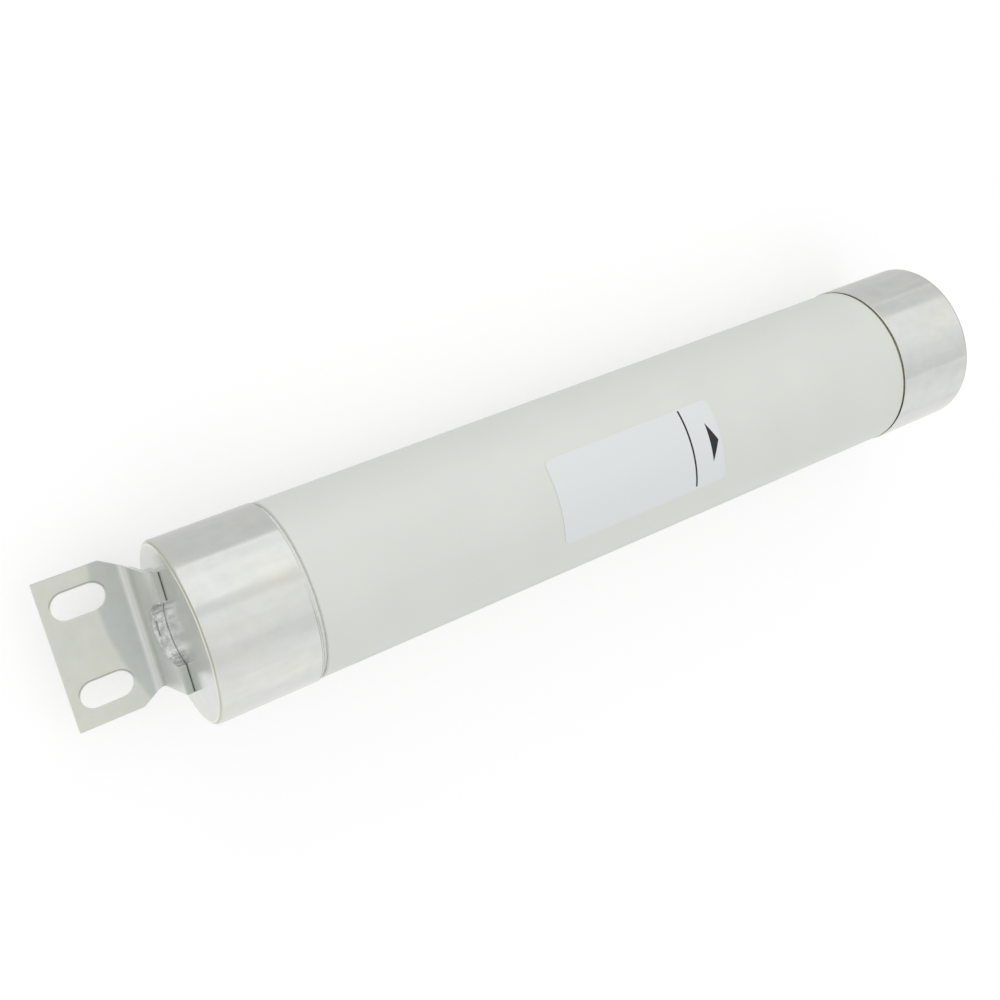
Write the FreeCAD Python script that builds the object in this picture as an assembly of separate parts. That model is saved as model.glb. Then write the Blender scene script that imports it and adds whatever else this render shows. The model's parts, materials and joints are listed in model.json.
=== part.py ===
import FreeCAD, Part
import math
import os

# High-voltage fuse link with a folded fixing tag at one end and a striker at the other.
# All sizes are millimetres. The fuse lies along Y with the tag at the low end, and Z is up.
# The two caps touch Z = 0, and the origin is under the middle of the whole link.

# Outside of the fuse
body_length = 396.0
cap_radius = 38.1
cap_wall = 0.9
cap_plate = 1.2
cap_rim_radius = 2.0
cap_lip_radius = 0.35
tag_cap_length = 43.3
striker_cap_length = 43.0
tag_seam_gap = 1.6
striker_seam_gap = 0.6
barrel_step = 0.55
barrel_wall = 7.0
barrel_edge_chamfer = 0.5

# Fits between pieces
seat_gap = 0.05
wire_gap = 0.15
sand_gap = 0.2

# Inner caps and gaskets
inner_cap_wall = 0.6
inner_cap_plate = 0.8
inner_cap_rim_ease = 0.1
inner_cap_setback = 5.0
gasket_thickness = 1.5
gasket_inset = 0.6

# Fixing tag, one folded sheet
tag_sheet = 1.5
tag_fold_gap = 0.2
tag_fold_drop = 1.3
tag_fold_radius = 0.7
tag_solder_gap = 0.55
tag_solder_gap_drop = 13.2
tag_solder_drop = 16.0
tag_solder_half_width = 22.6
tag_flange_drop = 19.0
tag_flange_tip_half_width = 22.8
tag_web_lean = 11.5
tag_web_half_width = 25.8
tag_bend_radius = 3.6
tag_blade_drop = 21.0
tag_reach = 43.0
tag_blade_half_width = 31.9
tag_shoulder_reach = 16.5
tag_corner_radius = 0.5
tag_clearance_hole_radius = 13.6
tag_clearance_hole_break = 0.25
slot_width = 11.45
slot_length = 21.5
slot_spacing = 38.2
slot_tip_margin = 4.15

# Filling hole in the tag end's inner cap
filling_hole_radius = 3.2
filling_plug_gap = 0.15
filling_plug_flange = 0.6
filling_plug_thickness = 1.0

# Label
label_thickness = 0.12
label_start = 155.5
label_length = 86.0
label_angle_from = -36.5
label_angle_to = 21.5
label_corner_radius = 3.0

# Ceramic former
core_bore_gap = 0.55
core_tube_wall = 2.5
rib_count = 6
rib_thickness = 3.0
rib_tooth_height = 1.2
contact_disc_thickness = 1.0
contact_disc_scallop_radius = 6.5
core_bush_length = 8.0

# Fuse elements
element_count = 3
element_corner_radius = 22.0
element_pitch = 48.0
element_width = 4.5
element_thickness = 0.25
element_notch_depth = 1.4
element_notch_half_length = 1.0
element_end_margin = 1.2
element_side_gap = 0.25

# Trigger wire and striker
trigger_wire_radius = 0.4
striker_travel = 20.0
striker_pin_radius = 4.0
striker_pin_recess = 0.2
striker_tip_radius = 1.0
striker_hole_gap = 0.6
striker_piston_thickness = 4.0
striker_piston_gap = 0.15
striker_stop_gap = 0.2
striker_spring_length = 13.5
striker_spring_wire_radius = 0.7
striker_spring_side_gap = 1.1
striker_spring_turns = 4.0
striker_spring_arcs = 6
striker_seat_thickness = 2.0
striker_seat_hole_gap = 0.5
striker_bush_length = 6.0
housing_radius = 9.8
housing_wall = 1.8
housing_flange_step = 1.8
housing_flange_thickness = 1.2
sleeve_wall = 1.6
sleeve_overhang = 4.0

V = FreeCAD.Vector
ALONG = V(0, 1, 0)
axis_z = cap_radius
slot_reach = tag_reach - slot_tip_margin - slot_length / 2

# The two ends: where each outer face lies, and which way is into the fuse.
overall_length = body_length + tag_reach
tag_end = {"face": tag_reach - overall_length / 2, "inward": 1}
striker_end = {"face": overall_length / 2, "inward": -1}

# Depths below an outer face that both ends share.
inner_plate_depth = cap_plate + seat_gap
behind_plate_depth = inner_plate_depth + inner_cap_plate
disc_depth = behind_plate_depth + seat_gap
core_depth = disc_depth + contact_disc_thickness + seat_gap
barrel_depth = disc_depth + gasket_thickness + seat_gap

# Radii of the nested pieces.
cap_bore = cap_radius - cap_wall
cap_inner_rim = max(cap_rim_radius - cap_wall, cap_wall / 2)
inner_cap_radius = cap_bore - seat_gap
inner_cap_bore = inner_cap_radius - inner_cap_wall
inner_cap_rim_radius = cap_inner_rim + inner_cap_rim_ease
spigot_radius = inner_cap_bore - seat_gap
barrel_radius = cap_radius - barrel_step
barrel_bore = barrel_radius - barrel_wall
filling_flange_radius = filling_hole_radius + filling_plug_flange
filling_hole_offset = barrel_bore - filling_plug_gap - filling_flange_radius
housing_bore = housing_radius - housing_wall
housing_flange_radius = housing_radius + housing_flange_step
striker_spring_radius = housing_bore - striker_spring_side_gap - striker_spring_wire_radius
sleeve_radius = housing_radius + seat_gap + sleeve_wall
core_bore_radius = sleeve_radius + core_bore_gap
core_tube_radius = core_bore_radius + core_tube_wall
half_step = math.pi / rib_count
rib_floor_radius = element_corner_radius - rib_thickness / 2 * math.tan(half_step) - seat_gap
rib_tip_radius = element_corner_radius + rib_tooth_height


def depth_y(end, depth):
    """The Y of a point that lies at a depth below one end's outer face."""
    return end["face"] + end["inward"] * depth


def upright(solid):
    """A solid whose faces point outwards."""
    if solid.Volume < 0:
        solid.reverse()
    return solid


def rod(radius, y_from, y_to, x=0.0, z=None):
    """A cylinder along Y, on the fuse's axis unless a place is given."""
    low = min(y_from, y_to)
    height = axis_z if z is None else z
    return Part.makeCylinder(radius, abs(y_to - y_from), V(x, low, height), ALONG)


def tube(outer, inner, y_from, y_to):
    """A ring or tube along the fuse's axis."""
    return rod(outer, y_from, y_to).cut(rod(inner, y_from, y_to))


def polygon_face(points):
    """A flat face from a closed outline of points."""
    return Part.Face(Part.makePolygon(list(points) + [points[0]]))


def rounded_outline(corners):
    """A closed wire through (point, radius) corners that lie in one plane."""
    count = len(corners)
    cuts = []
    for i in range(count):
        point, radius = corners[i]
        before = (corners[i - 1][0] - point).normalize()
        after = (corners[(i + 1) % count][0] - point).normalize()
        half = math.acos(max(-1.0, min(1.0, before.dot(after)))) / 2
        reach = radius / math.tan(half) if radius > 0 else 0.0
        middle = point
        if radius > 0:
            centre_way = (before + after).normalize()
            middle = point + centre_way * (radius / math.sin(half) - radius)
        cuts.append((point + before * reach, middle, point + after * reach, radius))
    edges = []
    for i in range(count):
        start, middle, end, radius = cuts[i]
        if radius > 0:
            edges.append(Part.Arc(start, middle, end).toShape())
        following = cuts[(i + 1) % count][0]
        if (following - end).Length > 1e-6:
            edges.append(Part.LineSegment(end, following).toShape())
    return Part.Wire(edges)


def turned(end, corners):
    """A solid of revolution from (radius, depth, corner radius) points at one end."""
    placed = [(V(r, depth_y(end, depth), axis_z), round_by) for r, depth, round_by in corners]
    face = Part.Face(rounded_outline(placed))
    return upright(face.revolve(V(0, 0, axis_z), ALONG, 360))


def tube_at(end, outer, inner, depth_from, depth_to):
    """A ring on the axis between two depths below one end's face."""
    return tube(outer, inner, depth_y(end, depth_from), depth_y(end, depth_to))


def polar(radius, angle, y):
    """A point round the fuse's axis; angle 0 is straight up."""
    return V(radius * math.sin(angle), y, axis_z + radius * math.cos(angle))


def make_barrel():
    """Glazed tube, ground down under each cap as far as the seam."""
    shoulders = []
    for end, length, gap in (
        (tag_end, tag_cap_length, tag_seam_gap),
        (striker_end, striker_cap_length, striker_seam_gap),
    ):
        shoulders.append((depth_y(end, barrel_depth), depth_y(end, length + gap)))
    (low, low_step), (high, high_step) = shoulders
    c = barrel_edge_chamfer
    outline = [
        (barrel_bore, low),
        (spigot_radius - c, low),
        (spigot_radius, low + c),
        (spigot_radius, low_step),
        (barrel_radius - c, low_step),
        (barrel_radius, low_step + c),
        (barrel_radius, high_step - c),
        (barrel_radius - c, high_step),
        (spigot_radius, high_step),
        (spigot_radius, high - c),
        (spigot_radius - c, high),
        (barrel_bore, high),
    ]
    face = polygon_face([V(r, y, axis_z) for r, y in outline])
    return upright(face.revolve(V(0, 0, axis_z), ALONG, 360))


def make_outer_cap(end, length, hole_radius):
    """Pressed cap with a rounded rim, an even wall and a rounded lip."""
    return turned(end, [
        (hole_radius, 0, 0),
        (cap_radius, 0, cap_rim_radius),
        (cap_radius, length, cap_lip_radius),
        (cap_bore, length, cap_lip_radius),
        (cap_bore, cap_plate, cap_inner_rim),
        (hole_radius, cap_plate, 0),
    ])


def make_inner_cap(end, length, hole_radius):
    """Thin cup that fits over the barrel's ground end, under the outer cap."""
    inner_rim = inner_cap_rim_radius - inner_cap_wall
    depth_end = length - inner_cap_setback
    return turned(end, [
        (hole_radius, inner_plate_depth, 0),
        (inner_cap_radius, inner_plate_depth, inner_cap_rim_radius),
        (inner_cap_radius, depth_end, 0),
        (inner_cap_bore, depth_end, 0),
        (inner_cap_bore, behind_plate_depth, inner_rim),
        (hole_radius, behind_plate_depth, 0),
    ])


def filling_point(depth):
    """Centre of the filling hole, midway between two ribs, below the tag end's face."""
    return polar(filling_hole_offset, half_step, depth_y(tag_end, depth))


def make_gasket(end):
    """Sealing ring between the barrel's end and the inner cap."""
    outer = spigot_radius - gasket_inset
    inner = barrel_bore + gasket_inset
    return tube_at(end, outer, inner, disc_depth, disc_depth + gasket_thickness)


def make_filling_plug():
    """Stopper that fills the hole and spreads behind the inner cap's plate."""
    start = filling_point(inner_plate_depth)
    shank_radius = filling_hole_radius - seat_gap
    flange_start = filling_point(disc_depth)
    shank = Part.makeCylinder(shank_radius, inner_cap_plate + seat_gap, start, ALONG)
    flange = Part.makeCylinder(filling_flange_radius, filling_plug_thickness, flange_start, ALONG)
    return shank.fuse(flange).removeSplitter()


def tag_point(reach, drop, x=0.0):
    """A point of the tag: reach is out from the cap's face, drop is below the axis."""
    return V(x, tag_end["face"] - reach, axis_z - drop)


def web_point(side, drop):
    """A point of the web at a drop: side runs from the middle of the fold out to the web's front."""
    lean = math.radians(tag_web_lean)
    reach = tag_sheet + tag_fold_gap / 2
    forward = (drop - tag_fold_drop) * math.tan(lean)
    return tag_point(reach + forward + side / math.cos(lean), drop)


def tag_section():
    """Side view of the sheet: flange, flattened fold, leaning web, bend and blade."""
    inner = tag_fold_gap / 2
    outer = inner + tag_sheet
    fold_inside = tag_fold_drop + tag_sheet
    blade_back = tag_blade_drop + tag_sheet
    return Part.Face(rounded_outline([
        (tag_point(0, tag_flange_drop), 0),
        (tag_point(0, tag_fold_drop), tag_fold_radius),
        (web_point(outer, tag_fold_drop), tag_fold_radius),
        (web_point(outer, tag_blade_drop), tag_bend_radius),
        (tag_point(tag_reach, tag_blade_drop), 0),
        (tag_point(tag_reach, blade_back), 0),
        (web_point(inner, blade_back), tag_bend_radius + tag_sheet),
        (web_point(inner, fold_inside), 0),
        (tag_point(tag_sheet, fold_inside), 0),
        (tag_point(tag_sheet, tag_flange_drop), 0),
    ]))


def solder_section():
    """Side view of the solder that fills the fold, apart from a narrow gap behind the web."""
    mid_sheet = (tag_sheet + tag_fold_gap) / 2
    fold_inside = tag_fold_drop + tag_sheet / 2
    gap_side = tag_fold_gap / 2 - tag_solder_gap
    return polygon_face([
        tag_point(tag_sheet / 2, fold_inside),
        web_point(mid_sheet, fold_inside),
        web_point(mid_sheet, tag_solder_gap_drop),
        web_point(gap_side, tag_solder_gap_drop),
        web_point(gap_side, tag_solder_drop),
        tag_point(tag_sheet / 2, tag_solder_drop),
    ])


def slot_tool(x):
    """A slot through the blade, running along the fuse."""
    radius = slot_width / 2
    half = slot_length / 2 - radius
    top = axis_z - tag_blade_drop + tag_sheet
    height = 3 * tag_sheet
    ends = []
    for reach in (slot_reach - half, slot_reach + half):
        ends.append(Part.makeCylinder(radius, height, V(x, tag_end["face"] - reach, top - height)))
    middle = Part.makeBox(
        slot_width, 2 * half, height,
        V(x - radius, tag_end["face"] - slot_reach - half, top - height),
    )
    return ends[0].fuse([ends[1], middle]).removeSplitter()


def make_fixing_tag():
    """Folded sheet with solder in its fold; a plan outline gives the shoulders."""
    wide = tag_section().extrude(V(2 * tag_blade_half_width, 0, 0))
    wide.translate(V(-tag_blade_half_width, 0, 0))
    solder = solder_section().extrude(V(2 * tag_solder_half_width, 0, 0))
    solder.translate(V(-tag_solder_half_width, 0, 0))
    face_y = tag_end["face"]
    lean = math.radians(tag_web_lean)
    bend_corner = web_point(tag_sheet + tag_fold_gap / 2, tag_blade_drop)
    bend_run = tag_bend_radius * math.tan((math.pi / 2 - lean) / 2)
    web_reach = face_y - bend_corner.y - bend_run * math.sin(lean)
    plan_z = axis_z - tag_blade_drop - 2 * tag_sheet
    half_plan = [
        (tag_web_half_width, 0.0, 0.0),
        (tag_web_half_width, web_reach, 0.0),
        (tag_blade_half_width, tag_shoulder_reach, tag_corner_radius),
        (tag_blade_half_width, tag_reach, tag_corner_radius),
    ]
    right = [(V(x, face_y - reach, plan_z), r) for x, reach, r in half_plan]
    left = [(V(-x, face_y - reach, plan_z), r) for x, reach, r in reversed(half_plan)]
    plan = Part.Face(rounded_outline(right + left)).extrude(V(0, 0, tag_blade_drop + 3 * tag_sheet))
    tag = wide.common(plan)

    # The flange narrows below the fold, and the solder is narrower than its tip.
    trim_depth = tag_sheet + tag_fold_gap / 4
    for side in (-1, 1):
        trim = polygon_face([
            tag_point(-tag_sheet, tag_fold_drop + tag_sheet, side * tag_blade_half_width),
            tag_point(-tag_sheet, tag_fold_drop + tag_sheet, side * tag_web_half_width),
            tag_point(-tag_sheet, tag_flange_drop, side * tag_flange_tip_half_width),
            tag_point(-tag_sheet, tag_flange_drop, side * tag_blade_half_width),
        ])
        tag = tag.cut(trim.extrude(V(0, -tag_sheet - trim_depth, 0)))
    tag = tag.fuse(solder)

    hole = tag_clearance_hole_radius
    clearance = rod(hole, face_y + tag_sheet, bend_corner.y - bend_run)
    edge_break = tag_clearance_hole_break
    hole_edge = Part.makeCone(hole + edge_break, hole, edge_break, tag_point(0, 0), -ALONG)
    tag = tag.cut([clearance, hole_edge])
    for x in (-slot_spacing / 2, slot_spacing / 2):
        tag = tag.cut(slot_tool(x))
    return tag.removeSplitter()


def make_label():
    """Paper wrap on the barrel, with rounded corners."""
    start = tag_end["face"] + label_start
    inner = barrel_radius + seat_gap
    outer = inner + label_thickness
    low = math.radians(label_angle_from)
    high = math.radians(label_angle_to)
    corners = [polar(inner, low, start), polar(inner, high, start)]
    wall = Part.Face(Part.Wire([
        Part.Arc(corners[0], polar(inner, (low + high) / 2, start), corners[1]).toShape(),
        Part.LineSegment(corners[1], polar(outer, high, start)).toShape(),
        Part.Arc(
            polar(outer, high, start), polar(outer, (low + high) / 2, start), polar(outer, low, start)
        ).toShape(),
        Part.LineSegment(polar(outer, low, start), corners[0]).toShape(),
    ])).extrude(V(0, label_length, 0))
    for angle, turn in ((low, 1), (high, -1)):
        for y, inward in ((start, 1), (start + label_length, -1)):
            wall = wall.cut(label_corner_tool(angle, turn, y, inward))
    return wall


def label_corner_tool(angle, turn, y, inward):
    """The waste outside one rounded corner of the label."""
    r = label_corner_radius
    centre_angle = angle + turn * r / barrel_radius
    out = polar(1.0, centre_angle, 0) - V(0, 0, axis_z)
    side = V(out.z, 0, -out.x) * -turn
    ahead = V(0, -inward, 0)
    base = polar(barrel_radius - 2 * r, centre_angle, y + inward * r)
    square = polygon_face([
        base,
        base + side * (2 * r),
        base + side * (2 * r) + ahead * (2 * r),
        base + ahead * (2 * r),
    ]).extrude(out * (4 * r))
    keep = Part.makeCylinder(r, 4 * r, base, out)
    return square.cut(keep)


def rib_angle(index):
    return 2 * half_step * index


def element_start_y():
    return depth_y(tag_end, core_depth + element_end_margin)


def step_advance():
    return element_pitch / rib_count


def element_steps():
    """How many rib-to-rib spans each element makes between the two contact discs."""
    room = depth_y(striker_end, core_depth + element_end_margin) - element_start_y() - element_width
    return int(room / step_advance())


def starting_rib(element):
    return element * rib_count // element_count


def make_core():
    """Tube with six ribs whose edges are notched where the elements cross them."""
    low = depth_y(tag_end, core_depth)
    high = depth_y(striker_end, core_depth)
    slope = step_advance() / (2 * element_corner_radius * math.sin(half_step))
    spread = rib_thickness / 2 * slope + element_side_gap
    core = tube(core_tube_radius, core_bore_radius, low, high)
    root = (core_bore_radius + core_tube_radius) / 2
    ribs = []
    for rib in range(rib_count):
        edge = [(root, low), (rib_tip_radius, low)]
        for step in range(element_steps() + 1):
            on_this_rib = any((starting_rib(e) + step - rib) % rib_count == 0 for e in range(element_count))
            if not on_this_rib:
                continue
            from_y = element_start_y() + step * step_advance() - spread
            to_y = from_y + element_width + 2 * spread
            edge += [
                (rib_tip_radius, from_y), (rib_floor_radius, from_y),
                (rib_floor_radius, to_y), (rib_tip_radius, to_y),
            ]
        edge += [(rib_tip_radius, high), (root, high)]
        plate = polygon_face([V(-rib_thickness / 2, y, axis_z + r) for r, y in edge])
        plate = upright(plate.extrude(V(rib_thickness, 0, 0)))
        plate.rotate(V(0, 0, axis_z), ALONG, math.degrees(rib_angle(rib)))
        ribs.append(plate)
    return core.fuse(ribs)


def make_element(index):
    """Notched ribbon that runs flat from rib to rib round the core."""
    thick = element_thickness / math.cos(half_step)
    steps = element_steps()
    first_rib = starting_rib(index)

    def corner(step, radius, across):
        y = element_start_y() + step * step_advance() + across
        return polar(radius, rib_angle(first_rib + step), y)

    def edge_points(step, radius, across, bite):
        """One edge of a span: its start, and the three points of the notch at its middle."""
        start = corner(step, radius, across)
        end = corner(step + 1, radius, across)
        span = end - start
        length = span.Length
        inward = V(0, bite, 0)
        half = element_notch_half_length / length
        return [
            start,
            start + span * (0.5 - half),
            start + span * 0.5 + inward,
            start + span * (0.5 + half),
        ]

    rows = []
    for radius in (element_corner_radius, element_corner_radius + thick):
        for across, bite in ((0.0, element_notch_depth), (element_width, -element_notch_depth)):
            row = []
            for step in range(steps):
                row += edge_points(step, radius, across, bite)
            row.append(corner(steps, radius, across))
            rows.append(row)
    inner_low, inner_high, outer_low, outer_high = rows
    faces = []
    for low_row, high_row in ((inner_low, inner_high), (outer_low, outer_high)):
        for step in range(steps):
            first = 4 * step
            last = first + 4
            outline = low_row[first:last + 1] + high_row[first:last + 1][::-1]
            faces.append(polygon_face(outline))
    for inner_row, outer_row in ((inner_low, outer_low), (inner_high, outer_high)):
        for i in range(len(inner_row) - 1):
            faces.append(polygon_face([inner_row[i], inner_row[i + 1], outer_row[i + 1]]))
            faces.append(polygon_face([inner_row[i], outer_row[i + 1], outer_row[i]]))
    for i in (0, -1):
        faces.append(polygon_face([inner_low[i], inner_high[i], outer_high[i], outer_low[i]]))
    return upright(Part.Solid(Part.Shell(faces)))


def make_contact_disc(end, hole_radius):
    """Plate across the core's end, scalloped between the ribs so that sand can pass."""
    y_from = depth_y(end, disc_depth)
    y_to = depth_y(end, disc_depth + contact_disc_thickness)
    disc = tube(rib_tip_radius, hole_radius, y_from, y_to)
    for rib in range(rib_count):
        place = polar(rib_tip_radius, rib_angle(rib + 0.5), 0)
        disc = disc.cut(rod(contact_disc_scallop_radius, y_from, y_to, place.x, place.z))
    return disc


def make_core_bush():
    """Ceramic bush in the core's bore that centres the trigger wire."""
    outer = core_bore_radius - seat_gap
    inner = trigger_wire_radius + wire_gap
    return tube_at(tag_end, outer, inner, core_depth, core_depth + core_bush_length)


# Depths of the striker's pieces below the striker end's face, from the front to the back.
bush_end_depth = disc_depth + striker_bush_length
piston_fired_depth = bush_end_depth + striker_stop_gap
piston_depth = piston_fired_depth + striker_travel
spring_front_depth = piston_depth + striker_piston_thickness + seat_gap
spring_back_depth = spring_front_depth + striker_spring_length
seat_depth = spring_back_depth + seat_gap
housing_end_depth = seat_depth + striker_seat_thickness
sleeve_start_depth = disc_depth + housing_flange_thickness + seat_gap
sleeve_end_depth = housing_end_depth + sleeve_overhang


def make_trigger_wire():
    """Wire from the tag end's contact disc to the back of the striker's piston."""
    start = depth_y(tag_end, disc_depth)
    stop = depth_y(striker_end, spring_front_depth + seat_gap)
    return rod(trigger_wire_radius, start, stop)


def make_sleeve():
    """Insulating tube that keeps the elements' voltage off the striker."""
    return tube_at(striker_end, sleeve_radius, housing_radius + seat_gap, sleeve_start_depth, sleeve_end_depth)


def make_housing():
    """Striker's tube, with a flange against the inner cap."""
    flange_end = disc_depth + housing_flange_thickness
    return turned(striker_end, [
        (housing_bore, disc_depth, 0),
        (housing_flange_radius, disc_depth, 0),
        (housing_flange_radius, flange_end, 0),
        (housing_radius, flange_end, 0),
        (housing_radius, housing_end_depth, 0),
        (housing_bore, housing_end_depth, 0),
    ])


def make_guide_bush():
    """Bush in the front of the housing that guides the pin and stops the piston."""
    return tube_at(
        striker_end, housing_bore - seat_gap, striker_pin_radius + seat_gap, disc_depth, bush_end_depth
    )


def make_spring_seat():
    """Plate in the back of the housing that the spring pushes on."""
    hole = trigger_wire_radius + striker_seat_hole_gap
    return tube_at(striker_end, housing_bore - seat_gap, hole, seat_depth, housing_end_depth)


def make_striker_pin():
    """Pin with a piston at its back and a rounded tip just below the cap's face."""
    piston_radius = housing_bore - striker_piston_gap
    piston_back = piston_depth + striker_piston_thickness
    return turned(striker_end, [
        (0, striker_pin_recess, 0),
        (striker_pin_radius, striker_pin_recess, striker_tip_radius),
        (striker_pin_radius, piston_depth, 0),
        (piston_radius, piston_depth, 0),
        (piston_radius, piston_back, 0),
        (0, piston_back, 0),
    ])


def make_striker_spring():
    """Compression spring held short between its seat and the piston."""
    wire = striker_spring_wire_radius
    rise = striker_spring_length - 2 * wire - 2 * seat_gap
    base = depth_y(striker_end, spring_back_depth) + wire + seat_gap

    def on_coil(step):
        turn = step / striker_spring_arcs
        return polar(striker_spring_radius, 2 * math.pi * turn, base + rise * turn / striker_spring_turns)

    arcs = []
    for step in range(round(striker_spring_turns * striker_spring_arcs)):
        arcs.append(Part.Arc(on_coil(step), on_coil(step + 0.5), on_coil(step + 1)).toShape())
    way = arcs[0].tangentAt(arcs[0].FirstParameter)
    profile = Part.Wire(Part.makeCircle(wire, on_coil(0), way))
    return upright(Part.Wire(arcs).makePipeShell([profile], True, False))


def make_sand():
    """Quartz sand as blocks: round the elements, between the ribs and in the core's bore."""
    sand_low = depth_y(tag_end, disc_depth + filling_plug_thickness + sand_gap)
    sand_high = depth_y(striker_end, core_depth)
    hexagon_radius = rib_tip_radius + rib_thickness / 2 * math.tan(half_step) + sand_gap
    hexagon = [polar(hexagon_radius, rib_angle(i), sand_low) for i in range(rib_count)]
    length = sand_high - sand_low
    hole = polygon_face(hexagon).extrude(V(0, length, 0))
    blocks = [rod(barrel_bore - sand_gap, sand_low, sand_high).cut(hole)]

    chord = element_corner_radius * math.cos(half_step) - sand_gap
    tube_side = core_tube_radius + sand_gap
    rib_side = rib_thickness / 2 + sand_gap
    valley_low = depth_y(tag_end, core_depth)
    for rib in range(rib_count):
        valley = polygon_face([valley_point(rib, side, distance, rib_side, valley_low)
                               for distance, side in ((chord, -1), (chord, 1), (tube_side, 1), (tube_side, -1))])
        blocks.append(valley.extrude(V(0, sand_high - valley_low, 0)))

    bore_low = depth_y(tag_end, core_depth + core_bush_length + sand_gap)
    bore_high = depth_y(striker_end, sleeve_end_depth + sand_gap)
    blocks.append(tube(core_bore_radius - sand_gap, trigger_wire_radius + wire_gap, bore_low, bore_high))
    return Part.makeCompound([upright(block) for block in blocks])


def valley_point(rib, side, distance, rib_side, y):
    """A corner of the space between two ribs, at a distance from the axis along its middle."""
    middle = rib_angle(rib + 0.5)
    sideways = (distance * math.sin(half_step) - rib_side) / math.cos(half_step)
    out = polar(1.0, middle, 0) - V(0, 0, axis_z)
    across = V(out.z, 0, -out.x)
    return V(0, y, axis_z) + out * distance + across * (side * sideways)


def build_parts():
    """Every sub-part by the name of its node."""
    pin_hole = striker_pin_radius + striker_hole_gap
    plug_hole = Part.makeCylinder(filling_hole_radius, inner_cap_plate, filling_point(inner_plate_depth), ALONG)
    parts = {
        "barrel": make_barrel(),
        "tag_end_cap": make_outer_cap(tag_end, tag_cap_length, 0),
        "striker_end_cap": make_outer_cap(striker_end, striker_cap_length, pin_hole),
        "tag_end_inner_cap": make_inner_cap(tag_end, tag_cap_length, 0).cut(plug_hole),
        "striker_end_inner_cap": make_inner_cap(striker_end, striker_cap_length, pin_hole),
        "tag_end_gasket": make_gasket(tag_end),
        "striker_end_gasket": make_gasket(striker_end),
        "filling_plug": make_filling_plug(),
        "fixing_tag": make_fixing_tag(),
        "label": make_label(),
        "element_core": make_core(),
        "tag_end_contact_disc": make_contact_disc(tag_end, trigger_wire_radius + wire_gap),
        "striker_end_contact_disc": make_contact_disc(striker_end, housing_flange_radius + seat_gap),
        "core_end_bush": make_core_bush(),
        "sand_filler": make_sand(),
        "trigger_wire": make_trigger_wire(),
        "striker_sleeve": make_sleeve(),
        "striker_housing": make_housing(),
        "striker_guide_bush": make_guide_bush(),
        "striker_spring_seat": make_spring_seat(),
        "striker_spring": make_striker_spring(),
        "striker_pin": make_striker_pin(),
    }
    for index in range(element_count):
        parts["fuse_element_%d" % (index + 1)] = make_element(index)
    return parts


os.makedirs("parts", exist_ok=True)
for name, shape in build_parts().items():
    if not shape.isValid():
        print("not valid:", name)
    shape.exportStep("parts/%s.step" % name)
    print("%-26s %8.2f cm3  %d solid(s)" % (name, shape.Volume / 1000, len(shape.Solids)))
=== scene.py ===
import json
import math

import bpy
from mathutils import Matrix, Vector


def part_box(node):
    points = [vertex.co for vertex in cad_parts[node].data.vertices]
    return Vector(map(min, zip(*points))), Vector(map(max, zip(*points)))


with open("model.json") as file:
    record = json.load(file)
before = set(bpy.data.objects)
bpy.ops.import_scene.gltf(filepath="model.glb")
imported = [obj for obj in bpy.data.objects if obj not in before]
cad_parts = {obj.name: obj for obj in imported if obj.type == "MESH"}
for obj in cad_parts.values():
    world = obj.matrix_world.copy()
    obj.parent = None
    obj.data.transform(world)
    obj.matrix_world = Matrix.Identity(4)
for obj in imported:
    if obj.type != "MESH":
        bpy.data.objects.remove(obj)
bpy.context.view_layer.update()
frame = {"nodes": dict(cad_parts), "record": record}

# The fuse lies along Y above the floor. All lengths are metres and all angles are degrees.
tag_cap_low, tag_cap_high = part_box("tag_end_cap")
striker_cap_low, striker_cap_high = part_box("striker_end_cap")
AXIS_Z = (tag_cap_low.z + tag_cap_high.z) / 2
CAP_RADIUS = (tag_cap_high.z - tag_cap_low.z) / 2
RIM_RADIUS = 0.002

# Places along the fuse: the two end faces, the tag cap's open edge, and the two ends of the glaze,
# which are a seam away from the caps.
TAG_FACE_Y = tag_cap_low.y
STRIKER_FACE_Y = striker_cap_high.y
TAG_CAP_EDGE_Y = tag_cap_high.y
TAG_SEAM = 0.0016
STRIKER_SEAM = 0.0006
GLAZE_LOW_Y = TAG_CAP_EDGE_Y + TAG_SEAM
GLAZE_HIGH_Y = striker_cap_low.y - STRIKER_SEAM

# Camera, fitted to the photograph's outlines.
CAMERA_AT = Vector((-0.19332, -0.28528, 0.53606))
CAMERA_FORWARD = Vector((0.32279, 0.43400, -0.84110))
CAMERA_UP = Vector((-0.92497, 0.33300, -0.18315))
CAMERA_LENS = 49.55
CAMERA_SENSOR = 36.0

# Printed marks on the label: a line across it and a triangle that points to the striker.
PRINT_LINE_Y = 0.0490
PRINT_LINE_WIDTH = 0.0009
PRINT_LINE_FROM = -35.4
PRINT_LINE_TO = 18.9
TRIANGLE_BASE_Y = 0.0588
TRIANGLE_TIP_Y = 0.0633
TRIANGLE_MIDDLE = -8.0
TRIANGLE_HALF_ANGLE = 13.6

# The tag's slots: their distance from the middle, centre, half straight length and half width.
SLOT_ACROSS = 0.0191
SLOT_Y = -0.2046
SLOT_HALF_STRAIGHT = 0.005025
SLOT_RADIUS = 0.005725

# The dark line beside each slot: its distance from the edge, half width and soft side. It is gone
# at the slot's middle line and full at twice this fade from it.
SLOT_LINE_OFF = 0.0006
SLOT_LINE_HALF = 0.00012
SLOT_LINE_SOFT = 0.00025
SLOT_LINE_FADE = 0.00175
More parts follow.
